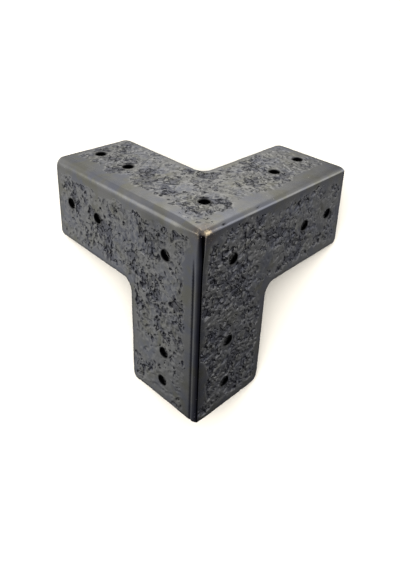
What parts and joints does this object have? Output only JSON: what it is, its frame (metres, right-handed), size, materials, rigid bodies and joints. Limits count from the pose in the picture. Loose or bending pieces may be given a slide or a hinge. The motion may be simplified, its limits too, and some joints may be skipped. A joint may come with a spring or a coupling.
{
  "type": "corner brace",
  "caption": "Corner brace of hammered steel plate: L-shaped plates square to each other, joined along rounded folds and drilled for screws, to hold the corner of a timber frame.",
  "frame": {"origin": "the inner corner, where the three seating faces meet", "axes": "one arm along +X, one along +Y, the leg along -Z; +Z is the top plate's outer side"},
  "size_m": [0.1, 0.1, 0.1],
  "materials": {
    "blackened_steel": "hammered, blackened and waxed to a satin sheen"
  },
  "bodies": {
    "root": {"corner_brace": "blackened_steel"}
  },
  "joints": []
}
